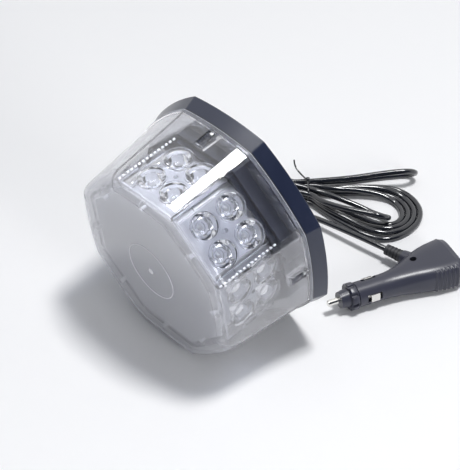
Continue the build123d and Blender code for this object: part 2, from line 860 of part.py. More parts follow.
def split_handle():
    """The handle's two shells, with the ribs that carry the board in the lower one."""
    body, cavity = make_handle()
    upper = body & block(0, handle_end + 1, -handle_reach, handle_side_reach, 0, handle_reach)
    lower = body & block(0, handle_end + 1, -handle_reach, handle_side_reach, -handle_reach, 0)
    ribs = []
    for place in (plug_board_start + board_rib_offset, handle_end - board_rib_offset - cap_spigot_length):
        rib = block(place - board_rib_thickness / 2, place + board_rib_thickness / 2,
                    plug_board_right, plug_board_left, -handle_reach, plug_board_low)
        ribs.append(rib & cavity)
    return upper, lower + ribs


def make_plug_board():
    end = handle_end - cap_spigot_length - board_to_cap
    return block(plug_board_start, end, plug_board_right, plug_board_left,
                 plug_board_low, plug_board_low + plug_board_thickness)


def make_sleeve():
    start = branch_length
    sleeve = Pos(0, 0, start + sleeve_length / 2) * Cone(sleeve_radius, sleeve_end_radius, sleeve_length)
    pitch = sleeve_length / (sleeve_grooves + 1)
    for groove in range(1, sleeve_grooves + 1):
        place = start + pitch * groove
        radius = sleeve_radius + (sleeve_end_radius - sleeve_radius) * groove / (sleeve_grooves + 1)
        band = cylinder(radius + 1, place - pitch / 4, place + pitch / 4)
        sleeve -= band - cylinder(radius - sleeve_groove_depth, place - pitch, place + pitch)
    return branch_line(sleeve + cylinder(branch_bore_radius - running_gap, start - sleeve_tail, start))


cap_end = handle_end + cap_thickness
rocker_pivot = cap_end + rocker_flange_thickness - rocker_pivot_depth


def make_rear_cap():
    last = handle_rows[-1]
    cap = loft([handle_outline(last, cap_inset), handle_outline(last, cap_end_inset, cap_end)], ruled=True)
    spigot_inset = handle_wall + cap_spigot_gap
    spigot = loft([
        handle_outline(last, spigot_inset, handle_end - cap_spigot_length),
        handle_outline(last, spigot_inset, handle_end + 1),
    ], ruled=True)
    hollow = loft([
        handle_outline(last, spigot_inset + cap_spigot_wall, handle_end - cap_spigot_length - 1),
        handle_outline(last, spigot_inset + cap_spigot_wall, handle_end + 1),
    ], ruled=True)
    cap += spigot - hollow
    half_length = rocker_body_length / 2 + cap_spigot_gap
    half_width = rocker_body_width / 2 + cap_spigot_gap
    low = handle_end - cap_spigot_length - 1
    window = block(low, cap_end + 1, -half_length, half_length, -half_width, half_width)
    cap -= Pos(0, rocker_y, 0) * window
    return cap - Pos(0, button_y, 0) * rod(button_radius + running_gap, low, cap_end + 1)


def make_rocker_bezel():
    half_length = rocker_body_length / 2
    half_width = rocker_body_width / 2
    back = cap_end - rocker_body_depth
    front = cap_end + rocker_flange_thickness
    body = block(back, front, -half_length, half_length, -half_width, half_width)
    body += block(cap_end, front, -half_length - rocker_flange, half_length + rocker_flange,
                  -half_width - rocker_flange, half_width + rocker_flange)
    body -= block(back + rocker_floor, front + 1, -rocker_pocket_length / 2, rocker_pocket_length / 2,
                  -rocker_pocket_width / 2, rocker_pocket_width / 2)
    body -= Pos(rocker_pivot, 0, 0) * Cylinder(rocker_pin_radius, rocker_pocket_width + 2 * rocker_pin_grip)
    return Pos(0, rocker_y, 0) * body


def make_rocker():
    height = rocker_pocket_width - 2 * rocker_gap
    drum = Cylinder(rocker_radius, height)
    for side in (-1, 1):
        tool = block(0, rocker_radius, -rocker_radius, rocker_radius, -height, height)
        drum -= Rot(0, 0, side * rocker_half_travel) * (Pos(rocker_face, 0, 0) * tool)
    drum -= Cylinder(rocker_pin_radius + rocker_pin_gap, height + 1)
    return Pos(rocker_pivot, rocker_y, 0) * (Rot(0, 0, -rocker_half_travel) * drum)


def make_rocker_pin():
    length = rocker_pocket_width + 2 * rocker_pin_grip
    return Pos(rocker_pivot, rocker_y, 0) * Cylinder(rocker_pin_radius, length)


def make_button():
    button = rod(button_radius, handle_end - 2 * stop_gap, cap_end + button_proud)
    button = fillet(button.edges().group_by(Axis.X)[-1], button_round)
    collar_end = handle_end - stop_gap
    return Pos(0, button_y, 0) * (
        button + rod(button_radius + button_collar, collar_end - button_collar_thickness, collar_end)
    )


def make_mode_switch():
    end = handle_end - stop_gap - button_collar_thickness - button_travel - stop_gap
    half = switch_width / 2
    low = plug_board_low + plug_board_thickness
    return Pos(0, button_y, 0) * block(end - switch_depth, end, -half, half, low, low + switch_height)


upper_shell, lower_shell = split_handle()
plug = {
    "plug_upper_shell": upper_shell,
    "plug_lower_shell": lower_shell,
    "nose_cap": make_nose_cap(),
    "tip_pin": make_tip_pin(),
    "fuse": make_fuse(),
    "fuse_spring": make_fuse_spring(),
    "fuse_seat": rod(fuse_cap_radius + fuse_bore_gap - seat_gap, fuse_seat, fuse_seat + fuse_seat_thickness),
    "plug_screw": Pos(plug_screw_x, plug_screw_y, plug_screw_seat) * pan_screw(
        small_screw_shank, small_screw_head, small_screw_head_height, plug_screw_length
    ),
    "plug_board": make_plug_board(),
    "branch_sleeve": make_sleeve(),
    "rear_cap": make_rear_cap(),
    "rocker_bezel": make_rocker_bezel(),
    "rocker": make_rocker(),
    "rocker_pin": make_rocker_pin(),
    "mode_button": make_button(),
    "mode_switch": make_mode_switch(),
}
for name, angle in contact_angles.items():
    plug[f"side_contact_{name}"] = make_side_contact(angle)

plug_place = Pos(plug_tip_x, plug_tip_y, plug_axis_height) * Rot(0, 0, plug_turn)


# ---- Cord: its tail from the base, its tied hank, and its lead to the plug ----
def cord_tube(points):
    """A round cord along straight runs joined by tangent arcs as large as the runs allow."""
    points = [Vector(*point) for point in points]
    radii = []
    for before, here, after in zip(points, points[1:], points[2:]):
        turn = (here - before).get_angle(after - here)
        run = min((here - before).length, (after - here).length)
        radii.append(0.45 * run / tan(radians(turn / 2)))
    path = FilletPolyline(*points, radius=radii)
    section = Plane(origin=points[0], z_dir=points[1] - points[0]) * Circle(cord_diameter / 2)
    tube = sweep(section, path)
    ratio = tube.volume / (path.length * section.area)
    print("radii", [round(radius, 1) for radius in radii], "length", path.length, "volume ratio", ratio)
    return tube


gland_tip = (lay * Pos(polar(gland_end, gland_angle, gland_height))).position
sleeve_tip = (plug_place * branch_line(Pos(0, 0, branch_length + sleeve_length))).position
tail_points = [
    tuple(gland_tip),
    (-89.5, 50.4, 2.5),
    (-112.0, 62.0, 2.5),
    (-126.0, 83.0, 2.5),
    (-128.0, 107.0, 4.0),
]
lead_points = [
    tuple(sleeve_tip),
    (37.8, 153.7, 12.0),
    (9.0, 150.6, 9.4),
    (-20.0, 147.2, 6.6),
    (-46.0, 141.0, 5.4),
]
hank_points = [
    (-60, 162), (-46, 183), (-24, 233), (-9, 254), (2, 257), (6, 248), (3, 237), (22, 233), (38, 226),
    (49, 210), (50, 194), (46, 176), (38, 165), (20, 159), (-14, 153), (-40, 134), (-75, 107),
    (-105, 97), (-132, 103), (-143, 118), (-134, 134), (-105, 141), (-80, 147),
]


def make_hank():
    """The outer shape of the folded cord, as it lies on the floor."""
    edge = Polyline(*hank_points, close=True)
    face = make_face(edge)
    face = fillet(face.vertices(), hank_round)
    slab = extrude(face, hank_height)
    return chamfer(slab.edges().group_by(Axis.Z)[-1], hank_chamfer)


def make_tie():
    """A wire tie bent round the cord's strands, with its ends twisted into a knot and a tail."""
    half = tie_half_width
    low = tie_wire_radius + tie_floor_gap
    loop = FilletPolyline(
        (0, -half, low), (0, half, low), (0, half, tie_height), (0, -half, tie_height),
        radius=tie_corner, close=True,
    )
    band = sweep(Plane(origin=loop @ 0, z_dir=loop % 0) * Circle(tie_wire_radius), loop)
    knot = Pos(0, tie_knot_place, tie_height) * Sphere(tie_knot_radius)
    tail_path = Spline([(0, tie_knot_place, tie_height), *tie_tail_points])
    tail = sweep(Plane(origin=tail_path @ 0, z_dir=tail_path % 0) * Circle(tie_wire_radius), tail_path)
    return Pos(tie_x, tie_y, 0) * (Rot(0, 0, tie_turn) * (band + knot + tail))


cords = {
    "cord_tail": cord_tube(tail_points),
    "cord_lead": cord_tube(lead_points),
    "cord_hank": make_hank(),
    "twist_tie": make_tie(),
}

nodes = {}
for name, shape in beacon.items():
    nodes[name] = lay * shape
for name, shape in plug.items():
    nodes[name] = plug_place * shape
nodes.update(cords)

for name, shape in nodes.items():
    export_step(shape, f"parts/{name}.step")

print(f"tilt {tilt:.3f} axis height {axis_height:.3f} axis offset {axis_offset:.3f}")
print("lowest", extent.min.Z + axis_height, "y", extent.min.Y + axis_offset, extent.max.Y + axis_offset)
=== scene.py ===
import bpy
import bmesh
from math import copysign, cos, pi, radians, sin, sqrt, tan
from mathutils import Matrix, Vector


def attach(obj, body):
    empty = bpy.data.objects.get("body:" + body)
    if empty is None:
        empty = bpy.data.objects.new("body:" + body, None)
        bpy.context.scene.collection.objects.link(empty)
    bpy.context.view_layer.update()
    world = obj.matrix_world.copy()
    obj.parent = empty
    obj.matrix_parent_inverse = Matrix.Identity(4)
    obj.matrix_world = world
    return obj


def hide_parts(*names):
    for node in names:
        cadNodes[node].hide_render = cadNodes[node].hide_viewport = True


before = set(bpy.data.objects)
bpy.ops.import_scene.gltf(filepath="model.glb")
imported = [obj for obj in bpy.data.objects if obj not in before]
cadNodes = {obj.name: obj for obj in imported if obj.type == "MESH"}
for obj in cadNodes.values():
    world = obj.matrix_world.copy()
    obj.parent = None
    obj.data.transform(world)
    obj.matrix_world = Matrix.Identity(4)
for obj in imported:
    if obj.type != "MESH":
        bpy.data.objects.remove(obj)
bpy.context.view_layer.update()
print("frame loaded,", len(cadNodes), "nodes")

scene = bpy.context.scene
scene.view_settings.view_transform = "Standard"

# camera
cameraSettings = {
    "place": (0.7468, -0.6594, 0.9605),
    "looks": (-0.55134, 0.51081, -0.65962),
    "lens": 134.04,
    "sensor": 36.0,
    "farthest": 20.0,
}
cameraData = bpy.data.cameras.new("viewCamera")
cameraData.lens = cameraSettings["lens"]
cameraData.sensor_width = cameraSettings["sensor"]
cameraData.clip_end = cameraSettings["farthest"]
viewCamera = bpy.data.objects.new("viewCamera", cameraData)
viewCamera.location = cameraSettings["place"]
viewCamera.rotation_euler = Vector(cameraSettings["looks"]).to_track_quat("-Z", "Y").to_euler()
scene.collection.objects.link(viewCamera)
scene.camera = viewCamera
print("camera placed")

# where the beacon and the plug lie: their own upright frames, turned and moved into place
beaconPlace = {"centre": (0.0, 0.044582, 0.092076), "turn": radians(98.198)}
plugPlace = {"centre": (0.0664, 0.0755, 0.01205), "turn": radians(71.5)}
beaconMatrix = Matrix.Translation(beaconPlace["centre"]) @ Matrix.Rotation(beaconPlace["turn"], 4, "X")
plugMatrix = Matrix.Translation(plugPlace["centre"]) @ Matrix.Rotation(plugPlace["turn"], 4, "Z")

# what a finish takes where its own look doesn't say
finishDefaults = {
    "mottleScale": 60.0, "mottleDetail": 5.0,
    "smearScale": 25.0, "smearDetail": 3.0, "smearFrom": 0.3, "smearTo": 0.7,
    "grainScale": 900.0, "grainDetail": 2.0, "grainDepth": 0.0002,
    "bump": 0.0, "metallic": 0.0, "ior": 1.5, "coat": 0.0, "coatRough": 0.08, "clear": 0.0, "haze": [],
}


def addNoise(tree, coords, scale, detail):
    noise = tree.nodes.new("ShaderNodeTexNoise")
    noise.inputs["Scale"].default_value = scale
    noise.inputs["Detail"].default_value = detail
    tree.links.new(coords.outputs["Object"], noise.inputs["Vector"])
    return noise.outputs["Fac"]


def addRange(tree, value, fromMin, fromMax, toMin, toMax):
    spread = tree.nodes.new("ShaderNodeMapRange")
    spread.inputs["From Min"].default_value = fromMin
    spread.inputs["From Max"].default_value = fromMax
    spread.inputs["To Min"].default_value = toMin
    spread.inputs["To Max"].default_value = toMax
    tree.links.new(value, spread.inputs["Value"])
    return spread


def addMath(tree, operation, first, second):
    sums = tree.nodes.new("ShaderNodeMath")
    sums.operation = operation
    tree.links.new(first, sums.inputs[0])
    tree.links.new(second, sums.inputs[1])
    return sums


def addMix(tree, share, first, second):
    mixer = tree.nodes.new("ShaderNodeMixShader")
    tree.links.new(share, mixer.inputs[0])
    tree.links.new(first, mixer.inputs[1])
    tree.links.new(second, mixer.inputs[2])
    return mixer.outputs["Shader"]


def addHaze(tree, coords, clearShader, look):
    # moulded haze: thin on the sides, thick over the flat top and toward two of the sides
    laid = tree.nodes.new("ShaderNodeMapping")
    laid.vector_type = "TEXTURE"
    laid.inputs["Location"].default_value = beaconPlace["centre"]
    laid.inputs["Rotation"].default_value = (beaconPlace["turn"], 0.0, 0.0)
    tree.links.new(coords.outputs["Object"], laid.inputs["Vector"])
    axes = tree.nodes.new("ShaderNodeSeparateXYZ")
    tree.links.new(laid.outputs["Vector"], axes.inputs["Vector"])
    thickest = None
    for axis, fromMin, fromMax, amount in look["haze"]:
        hazeRange = addRange(tree, axes.outputs[axis], fromMin, fromMax, look["thinHaze"], amount)
        hazeRange.interpolation_type = "SMOOTHSTEP"
        layer = hazeRange.outputs["Result"]
        thickest = layer if thickest is None else addMath(tree, "MAXIMUM", thickest, layer).outputs["Value"]
    milk = tree.nodes.new("ShaderNodeBsdfDiffuse")
    milk.inputs["Color"].default_value = look["milk"]
    return addMix(tree, thickest, clearShader, milk.outputs["BSDF"])


def makeFinish(name, ownLook):
    # two colours in a soft mottle, uneven gloss and, where asked, a fine grain
    look = {**finishDefaults, **ownLook}
    finish = bpy.data.materials.new(name)
    finish.use_nodes = True
    tree = finish.node_tree
    shader = tree.nodes["Principled BSDF"]
    coords = tree.nodes.new("ShaderNodeTexCoord")
    mottle = addNoise(tree, coords, look["mottleScale"], look["mottleDetail"])
    tint = tree.nodes.new("ShaderNodeMix")
    tint.data_type = "RGBA"
    tint.inputs[6].default_value = (*look["colour"], 1.0)  # the first colour's socket
    tint.inputs[7].default_value = (*look["colourTwo"], 1.0)  # the second colour's
    tree.links.new(mottle, tint.inputs[0])
    tree.links.new(tint.outputs[2], shader.inputs["Base Color"])
    smear = addNoise(tree, coords, look["smearScale"], look["smearDetail"])
    roughness = addRange(tree, smear, look["smearFrom"], look["smearTo"], *look["rough"])
    tree.links.new(roughness.outputs["Result"], shader.inputs["Roughness"])
    if look["bump"]:
        grain = addNoise(tree, coords, look["grainScale"], look["grainDetail"])
        bump = tree.nodes.new("ShaderNodeBump")
        bump.inputs["Strength"].default_value = look["bump"]
        bump.inputs["Distance"].default_value = look["grainDepth"]
        tree.links.new(grain, bump.inputs["Height"])
        tree.links.new(bump.outputs["Normal"], shader.inputs["Normal"])
    shader.inputs["Metallic"].default_value = look["metallic"]
    shader.inputs["IOR"].default_value = look["ior"]
    shader.inputs["Coat Weight"].default_value = look["coat"]
    shader.inputs["Coat Roughness"].default_value = look["coatRough"]
    shader.inputs["Transmission Weight"].default_value = look["clear"]
    if look["clear"]:
        # light passes the clear plastic, so what is inside stays lit
        passing = tree.nodes.new("ShaderNodeBsdfTransparent")
        passing.inputs["Color"].default_value = look["passing"]
        path = tree.nodes.new("ShaderNodeLightPath")
        clearShader = shader.outputs["BSDF"]
        if look["haze"]:
            clearShader = addHaze(tree, coords, clearShader, look)
        through = addMix(tree, path.outputs["Is Shadow Ray"], clearShader, passing.outputs["BSDF"])
        tree.links.new(through, tree.nodes["Material Output"].inputs["Surface"])
    return finish


finishLooks = {
    "baseBlack": {"colour": (0.013, 0.018, 0.042), "colourTwo": (0.019, 0.026, 0.056),
                  "rough": (0.28, 0.34), "bump": 0.04, "grainScale": 300.0, "grainDepth": 0.0001,
                  "coat": 0.2, "coatRough": 0.11},
    "plugBlack": {"colour": (0.036, 0.038, 0.058), "colourTwo": (0.042, 0.044, 0.066),
                  "rough": (0.27, 0.35), "bump": 0.25, "grainScale": 1500.0, "grainDepth": 0.0001},
    "rubberBlack": {"colour": (0.018, 0.019, 0.024), "colourTwo": (0.028, 0.029, 0.034),
                    "rough": (0.45, 0.6), "bump": 0.3, "grainScale": 1200.0},
    "cordVinyl": {"colour": (0.007, 0.009, 0.015), "colourTwo": (0.011, 0.013, 0.020),
                  "rough": (0.13, 0.17), "coat": 0.7, "coatRough": 0.1},
    "chassisBlack": {"colour": (0.016, 0.019, 0.032), "colourTwo": (0.024, 0.028, 0.044),
                     "rough": (0.22, 0.3), "bump": 0.03, "grainDepth": 0.0001},
    "towerWhite": {"colour": (0.72, 0.73, 0.76), "colourTwo": (0.80, 0.81, 0.84), "rough": (0.35, 0.5),
                   "bump": 0.1},
    "boardWhite": {"colour": (0.40, 0.41, 0.45), "colourTwo": (0.48, 0.49, 0.53), "rough": (0.28, 0.38),
                   "bump": 0.08},
    "boardGreen": {"colour": (0.015, 0.09, 0.04), "colourTwo": (0.02, 0.13, 0.055), "rough": (0.25, 0.4),
                   "bump": 0.2},
    "ledPhosphor": {"colour": (0.40, 0.41, 0.44), "colourTwo": (0.50, 0.50, 0.50), "rough": (0.15, 0.25),
                    "coat": 0.6},
    # white that paints the glints on clear pins, comb teeth and the gate mark
    "paintedGlintWhite": {"colour": (0.88, 0.88, 0.92), "colourTwo": (0.94, 0.94, 0.97), "rough": (0.25, 0.35)},
    "rimClear": {"colour": (0.90, 0.91, 0.95), "colourTwo": (0.94, 0.95, 0.98), "rough": (0.02, 0.06),
                 "clear": 1.0, "ior": 1.5, "passing": (0.6, 0.6, 0.63, 1.0)},
    # a pale colour that paints the highlight along the edge of the dome's lip
    "lipPaintedHighlight": {"colour": (0.42, 0.44, 0.50), "colourTwo": (0.52, 0.54, 0.60), "rough": (0.1, 0.2),
                "coat": 0.5},
    "seamBlack": {"colour": (0.004, 0.004, 0.006), "colourTwo": (0.007, 0.007, 0.010), "rough": (0.5, 0.6)},
    "plainSteel": {"colour": (0.55, 0.56, 0.58), "colourTwo": (0.68, 0.69, 0.71), "rough": (0.2, 0.34),
                   "metallic": 1.0, "bump": 0.1},
    "nickel": {"colour": (0.72, 0.71, 0.68), "colourTwo": (0.82, 0.81, 0.78), "rough": (0.12, 0.22),
               "metallic": 1.0, "bump": 0.05},
    "brass": {"colour": (0.70, 0.52, 0.25), "colourTwo": (0.78, 0.60, 0.32), "rough": (0.2, 0.3),
              "metallic": 1.0},
    "ferrite": {"colour": (0.05, 0.05, 0.055), "colourTwo": (0.09, 0.09, 0.095), "rough": (0.5, 0.7),
                "bump": 0.4},
    "chipBlack": {"colour": (0.02, 0.02, 0.02), "colourTwo": (0.03, 0.03, 0.03), "rough": (0.4, 0.5),
                  "bump": 0.2},
    "greyPlastic": {"colour": (0.20, 0.21, 0.23), "colourTwo": (0.25, 0.26, 0.28), "rough": (0.35, 0.5),
                    "bump": 0.2},
    "fuseGlass": {"colour": (0.75, 0.78, 0.80), "colourTwo": (0.82, 0.85, 0.87), "rough": (0.08, 0.14)},
    "domeClear": {"colour": (0.97, 0.975, 1.0), "colourTwo": (0.985, 0.99, 1.0), "rough": (0.0, 0.03),
                  "ior": 1.55, "clear": 1.0, "passing": (0.55, 0.56, 0.59, 1.0), "thinHaze": 0.012,
                  "milk": (0.76, 0.76, 0.80, 1.0),
                  "haze": [("Z", 0.080, 0.0925, 0.26), ("Y", 0.0375, 0.031, 0.11),
                           ("X", -0.030, -0.048, 0.24)]},  # axis, where it starts, where it is full, how thick
    "lensClear": {"colour": (0.98, 0.985, 1.0), "colourTwo": (0.99, 0.992, 1.0), "rough": (0.0, 0.02),
                  "ior": 1.49, "clear": 1.0, "passing": (0.85, 0.86, 0.88, 1.0)},
}
finishes = {name: makeFinish(name, look) for name, look in finishLooks.items()}

# which of the part's nodes takes which finish
nodeFinish = {
    "baseBlack": ["base_housing"],
    "plugBlack": ["plug_upper_shell", "plug_lower_shell", "nose_cap", "rear_cap", "rocker_bezel", "rocker"],
    "rubberBlack": ["seal_ring", "magnet_pad", "cord_gland", "branch_sleeve"],
    "cordVinyl": ["inner_lead", "cord_tail", "cord_lead", "cord_hank", "twist_tie"],
    "chassisBlack": ["chassis"],
    "towerWhite": ["led_tower", "tower_lid"],
    "boardWhite": ["led_board_" + str(number) for number in range(1, 9)],
    "boardGreen": ["driver_board", "plug_board"],
    "ledPhosphor": ["leds"],
    "plainSteel": ["dome_screws", "small_screws", "plug_screw", "magnet_cup", "magnet_bolt", "magnet_nut",
                   "rocker_pin", "fuse_spring", "driver_capacitors"],
    "nickel": ["tip_pin", "side_contact_right", "side_contact_top"],
    "brass": ["fuse_seat"],
    "ferrite": ["ring_magnet"],
    "chipBlack": ["power_transistors", "flash_controller"],
    "greyPlastic": ["terminal_block", "mode_switch", "mode_button"],
    "fuseGlass": ["fuse"],
    "domeClear": ["dome_cover"],
    "lensClear": ["lens_plate_" + str(number) for number in range(1, 9)],
}
for finishName, names in nodeFinish.items():
    for name in names:
        cadNodes[name].data.materials.clear()
        cadNodes[name].data.materials.append(finishes[finishName])
print("finishes made:", len(finishes))


def makePiece(name, build, place, finishName, body="beacon", sharpFrom=35.0):
    bmesh.ops.recalc_face_normals(build, faces=build.faces)
    mesh = bpy.data.meshes.new(name)
    build.to_mesh(mesh)
    build.free()
    mesh.transform(place)
    for face in mesh.polygons:
        face.use_smooth = True
    mesh.set_sharp_from_angle(angle=radians(sharpFrom))
    mesh.materials.append(finishes[finishName])
    piece = bpy.data.objects.new(name, mesh)
    scene.collection.objects.link(piece)
    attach(piece, body)
    return piece


# the beacon's outline: bowed sides and rounded corners
shellSettings = {
    "sides": 8, "cornerRadius": 0.0974, "bulge": 0.0032, "cornerRound": 0.004, "cornerSpan": 0.56,
    "baseHeight": 0.0124, "baseDraft": radians(19.7),
}
sideAngle = 360.0 / shellSettings["sides"]
halfTurn = pi / shellSettings["sides"]
halfSide = shellSettings["cornerRadius"] * sin(halfTurn)
bowRadius = (halfSide ** 2 + shellSettings["bulge"] ** 2) / (2 * shellSettings["bulge"])
sideReach = shellSettings["cornerRadius"] * cos(halfTurn) + shellSettings["bulge"]
bowCentre = sideReach - bowRadius
seamReach = sideReach - shellSettings["baseHeight"] * tan(shellSettings["baseDraft"])
cornerCentre = bowCentre * cos(halfTurn) + sqrt(
    (bowRadius - shellSettings["cornerRound"]) ** 2 - (bowCentre * sin(halfTurn)) ** 2)
# where the outline has its points, in degrees past a corner
sideSteps = [0.0, 0.28, 0.55, 3.5, 7.0, 10.5, 14.0, 17.5, 22.5, 27.5, 31.0, 34.5, 38.0, 41.5, 44.45, 44.72]


def roundEdges(build, edges, settings):
    bmesh.ops.bevel(build, geom=edges, offset=settings["edge"], affect="EDGES",
                    segments=settings["edgeSteps"], profile=0.5, material=-1)


def outlineReach(step):
    # how far the foot's outline is from the axis, a step in degrees past a corner
    fromCorner = radians(min(step, sideAngle - step))
    if fromCorner < radians(shellSettings["cornerSpan"]):
        sideways = cornerCentre * sin(fromCorner)
        return cornerCentre * cos(fromCorner) + sqrt(shellSettings["cornerRound"] ** 2 - sideways ** 2)
    fromMiddle = halfTurn - fromCorner
    return bowCentre * cos(fromMiddle) + sqrt(bowRadius ** 2 - (bowCentre * sin(fromMiddle)) ** 2)


def ringEdges(made):
    return list({edge for vertex in made["verts"] for edge in vertex.link_edges})


def outlineRing(build, reach, height):
    # the beacon's outline as a loop of edges, with its facets that far from the axis
    made = bmesh.ops.create_circle(build, segments=shellSettings["sides"] * len(sideSteps), radius=reach)
    for index, vertex in enumerate(made["verts"]):
        step = sideSteps[index % len(sideSteps)]
        angle = radians(sideAngle / 2 + sideAngle * (index // len(sideSteps)) + step)
        length = outlineReach(step) * reach / sideReach
        vertex.co = (length * cos(angle), length * sin(angle), height)
    return ringEdges(made)


def bridgeAll(build, loops):
    for first, second in zip(loops, loops[1:]):
        bmesh.ops.bridge_loops(build, edges=first + second)


def closedBand(profile):
    # a ring of the beacon's outline with a closed section of (reach, height) corners
    build = bmesh.new()
    loops = [outlineRing(build, reach, height) for reach, height in profile]
    bridgeAll(build, loops + loops[:1])
    return build


def squareBand(band):
    # a band with a square section that stands a little proud of the seam
    inner, outer = seamReach - band["back"], seamReach + band["proud"]
    low, high = band["low"], band["high"]
    return closedBand([(inner, low), (outer, low), (outer, high), (inner, high)])


# the dome's foot rim, the dark gap under it, and a pale band along its lower edge that is a painted highlight
rimSettings = {"low": 0.0128, "high": 0.0158, "proud": 0.0008, "back": 0.0004, "round": 0.0003}
rimLow, rimHigh = rimSettings["low"], rimSettings["high"]
rimOut, rimIn = seamReach + rimSettings["proud"], seamReach - rimSettings["back"]
rimRound = rimSettings["round"]
domeRim = closedBand([(rimIn, rimLow), (rimOut - rimRound, rimLow), (rimOut, rimLow + rimRound),
                      (rimOut, rimHigh - rimRound), (rimOut - rimRound, rimHigh), (rimIn, rimHigh)])
makePiece("dome_rim", domeRim, beaconMatrix, "rimClear")

seamSettings = {"low": 0.0118, "high": 0.0128, "proud": 0.0005, "back": 0.0006}
makePiece("seam_line", squareBand(seamSettings), beaconMatrix, "seamBlack")

# a thin pale band, painted on as the highlight along the lip's edge
lipHighlightSettings = {"low": 0.0129, "high": 0.0133, "proud": 0.0011, "back": 0.0002}
makePiece("lip_painted_highlight", squareBand(lipHighlightSettings), beaconMatrix, "lipPaintedHighlight")

# the moulded ring and nub in the middle of the top, white as painted highlights on the clear top
markSettings = {"radius": 0.0244, "top": 0.0933, "wire": 0.0003, "wireSides": 8, "steps": 72,
                "nub": 0.0026, "nubHeight": 0.0007, "nubSides": 20, "nubRings": 10}
gateMark = bmesh.new()
wireEnd = bmesh.ops.create_circle(gateMark, segments=markSettings["wireSides"], radius=markSettings["wire"])
bmesh.ops.rotate(gateMark, verts=wireEnd["verts"], cent=(0, 0, 0), matrix=Matrix.Rotation(pi / 2, 3, "X"))
bmesh.ops.translate(gateMark, verts=wireEnd["verts"], vec=(markSettings["radius"], 0, markSettings["top"]))
bmesh.ops.spin(gateMark, geom=gateMark.verts[:] + gateMark.edges[:], cent=(0, 0, 0), axis=(0, 0, 1),
               dvec=(0, 0, 0), angle=2 * pi, steps=markSettings["steps"], use_merge=True)
nub = bmesh.ops.create_uvsphere(gateMark, u_segments=markSettings["nubSides"],
                                v_segments=markSettings["nubRings"], radius=markSettings["nub"])
bmesh.ops.scale(gateMark, verts=nub["verts"], vec=(1, 1, markSettings["nubHeight"] / markSettings["nub"]))
bmesh.ops.translate(gateMark, verts=nub["verts"], vec=(0, 0, markSettings["top"]))
makePiece("gate_mark", gateMark, beaconMatrix, "paintedGlintWhite")

# short pins that stand inside the top, one at each side, white as painted glints on clear pins
pinSettings = {"count": 8, "circle": 0.0645, "top": 0.0906, "radius": 0.0015, "foot": 0.0018,
               "length": 0.0044, "sides": 24, "edge": 0.0003, "edgeSteps": 3, "sharp": 1.0}
topPins = bmesh.new()
for pinNumber in range(pinSettings["count"]):
    angle = 2 * pi * pinNumber / pinSettings["count"]
    pin = bmesh.ops.create_cone(topPins, cap_ends=True, segments=pinSettings["sides"],
                                radius1=pinSettings["radius"], radius2=pinSettings["foot"],
                                depth=pinSettings["length"])
    bmesh.ops.translate(topPins, verts=pin["verts"], vec=(
        pinSettings["circle"] * cos(angle), pinSettings["circle"] * sin(angle),
        pinSettings["top"] - pinSettings["length"] / 2))
pinEdges = [edge for edge in topPins.edges
            if len(edge.link_faces) == 2 and edge.calc_face_angle() > pinSettings["sharp"]]
roundEdges(topPins, pinEdges, pinSettings)
makePiece("top_pins", topPins, beaconMatrix, "paintedGlintWhite")

# toothed strips between pairs of lens plates, white as painted glints along the plates' edges
combSettings = {"corners": (22.5, 112.5, 202.5, 292.5), "reach": 0.0775, "low": 0.031, "high": 0.084,
                "teeth": 15, "tooth": (0.0016, 0.0012, 0.0021), "edge": 0.00025, "edgeSteps": 2}
combs = bmesh.new()
for corner in combSettings["corners"]:
    cornerTurn = Matrix.Rotation(radians(corner), 4, "Z")
    for tooth in range(combSettings["teeth"]):
        share = tooth / (combSettings["teeth"] - 1)
        height = combSettings["low"] + share * (combSettings["high"] - combSettings["low"])
        block = bmesh.ops.create_cube(combs, size=1.0)
        bmesh.ops.scale(combs, verts=block["verts"], vec=combSettings["tooth"])
        bmesh.ops.translate(combs, verts=block["verts"], vec=(combSettings["reach"], 0, height))
        bmesh.ops.transform(combs, matrix=cornerTurn, verts=block["verts"])
roundEdges(combs, combs.edges[:], combSettings)
makePiece("corner_combs", combs, beaconMatrix, "paintedGlintWhite")
print("beacon trim made")

# the lugs around the plug's nose cap, for turning it by hand
lugSettings = {"count": 8, "start": 0.0178, "reach": 0.0101, "length": 0.0058, "width": 0.0058,
               "height": 0.0022, "edge": 0.0008, "edgeSteps": 3}
noseLugs = bmesh.new()
for lug in range(lugSettings["count"]):
    block = bmesh.ops.create_cube(noseLugs, size=1.0)
    bmesh.ops.scale(noseLugs, verts=block["verts"],
                    vec=(lugSettings["length"], lugSettings["width"], lugSettings["height"]))
    bmesh.ops.translate(noseLugs, verts=block["verts"],
                        vec=(lugSettings["start"] + lugSettings["length"] / 2, 0, lugSettings["reach"]))
    around = Matrix.Rotation(2 * pi * (lug + 0.5) / lugSettings["count"], 4, "X")
    bmesh.ops.transform(noseLugs, matrix=around, verts=block["verts"])
roundEdges(noseLugs, noseLugs.edges[:], lugSettings)
makePiece("nose_lugs", noseLugs, plugMatrix, "plugBlack", body="nose_cap")

# the ribbed grip at the handle's rear
gripSettings = {
    "start": 0.0885, "end": 0.1098, "ribs": 6, "depth": 0.0010, "proud": 0.0003, "sunk": 0.0006,
    "wingFade": 0.2, "topEnd": 0.97, "topFade": 0.3, "bottomEnd": 0.8, "bottomFade": 0.35,
    "sides": 96, "steps": 84, "sharp": 50.0,
}
# the handle's section where the grip lies: place, left, right, top, bottom and squareness
gripRows = [
    (0.084, 0.0206, 0.0154, 0.0126, 0.0118, 2.9), (0.098, 0.0244, 0.0170, 0.0130, 0.0120, 3.3),
    (0.110, 0.0262, 0.0176, 0.0130, 0.0120, 3.5),
]


def fadeIn(distance, width):
    return min(1.0, max(0.0, distance / width))


